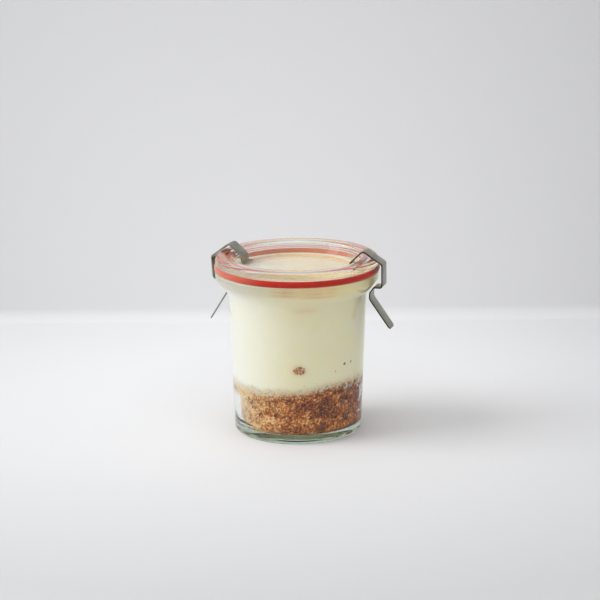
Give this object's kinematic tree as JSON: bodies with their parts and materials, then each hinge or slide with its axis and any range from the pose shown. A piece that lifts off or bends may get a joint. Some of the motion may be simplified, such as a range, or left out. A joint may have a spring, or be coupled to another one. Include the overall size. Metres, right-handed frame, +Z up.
{
  "type": "biscuit cheesecake cup",
  "caption": "Cheesecake cream on a butter biscuit crumb base in a small clear glass preserving jar, closed by a glass lid, a red rubber ring and steel spring clips.",
  "frame": {"origin": "centre of the jar's flat base, on the surface that it stands on", "axes": "+Z up along the jar's axis; -Y is the front that the picture shows; one clip is to the right near +X, the other to the left near -X"},
  "size_m": [0.0774, 0.0696, 0.0788],
  "materials": {
    "clear_glass": "clear pressed soda-lime glass, faintly green at the thick base",
    "lid_glass": "clear pressed soda-lime glass",
    "red_rubber": "moulded natural rubber, orange-red, satin",
    "spring_steel": "rolled stainless spring steel, fine grain along the strip",
    "cheesecake_cream": "pale ivory set cream, smooth, soft sheen",
    "biscuit_crumb": "golden brown buttered biscuit crumbs, matt and coarse"
  },
  "bodies": {
    "root": {"jar": "clear_glass", "lid": "lid_glass", "ring": "red_rubber", "clip_right": "spring_steel", "clip_left": "spring_steel", "cream": "cheesecake_cream", "biscuit": "biscuit_crumb"}
  },
  "joints": []
}
